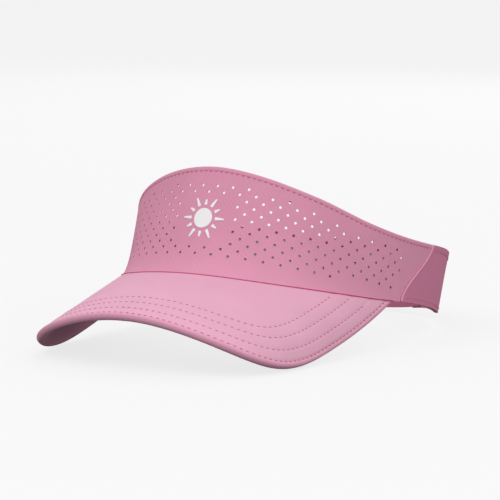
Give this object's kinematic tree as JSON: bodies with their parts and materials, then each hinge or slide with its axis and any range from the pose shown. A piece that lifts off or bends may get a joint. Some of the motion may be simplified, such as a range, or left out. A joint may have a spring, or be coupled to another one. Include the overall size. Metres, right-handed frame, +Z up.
{
  "type": "sun visor",
  "caption": "Open-topped sports sun visor: perforated crown band, curved covered brim, sweatband and hook-and-loop rear strap.",
  "frame": {"origin": "bottom centre of the visor's bounding box, on the surface it rests on", "axes": "+Z up at rest; the brim points to -Y; the wearer's left is +X"},
  "size_m": [0.1738, 0.2664, 0.0973],
  "materials": {
    "crown_knit": "matt perforated stretch knit",
    "brim_fabric": "smooth matt woven cover",
    "brim_binding": "rolled woven binding",
    "rear_fabric": "plain stretch woven",
    "rear_lining": "soft knit lining",
    "towelling": "looped towelling",
    "foam": "thin open-cell foam",
    "seam_tape": "woven tape",
    "board": "flexible polyethylene sheet",
    "emblem_film": "heat-pressed matt film",
    "piping": "raised piping",
    "strap_webbing": "flat woven strap",
    "loop_pile": "brushed loop pile",
    "hook_plastic": "moulded hooks",
    "thread": "sewn patch"
  },
  "bodies": {
    "front": {"crown_panel": "crown_knit", "top_hem": "crown_knit", "sweatband_cover": "towelling", "sweatband_foam": "foam", "brim_seam_tape": "seam_tape", "brim_top_cover": "brim_fabric", "brim_board": "board", "brim_bottom_cover": "brim_fabric", "brim_binding": "brim_binding", "sun_emblem": "emblem_film", "left_side_piping": "piping", "right_side_piping": "piping"},
    "left_wing": {"left_rear_panel": "rear_fabric", "left_rear_lining": "rear_lining", "under_strap": "strap_webbing", "loop_tape": "loop_pile", "left_strap_tack": "thread"},
    "right_wing": {"right_rear_panel": "rear_fabric", "right_rear_lining": "rear_lining", "over_strap": "strap_webbing", "right_strap_tack": "thread"},
    "tab": {"closure_tab": "strap_webbing", "hook_tape": "hook_plastic"}
  },
  "joints": [
    {"name": "left_wing_flex", "type": "hinge", "parent": "front", "child": "left_wing", "pos_m": [0.0845, 0.04623, 0.03392], "axis": [0, 0.319, 0.9477], "range_deg": [-5, 5]},
    {"name": "right_wing_flex", "type": "hinge", "parent": "front", "child": "right_wing", "pos_m": [-0.0845, 0.04623, 0.03392], "axis": [0, 0.319, 0.9477], "range_deg": [-5, 5]},
    {"name": "tab_peel", "type": "hinge", "parent": "right_wing", "child": "tab", "pos_m": [-0.0151, 0.12796, 0.01227], "axis": [0, 0.319, 0.9477], "range_deg": [0, 110]}
  ],
  "couplings": [
    {"joint": "right_wing_flex", "follows": "left_wing_flex", "ratio": -1}
  ]
}
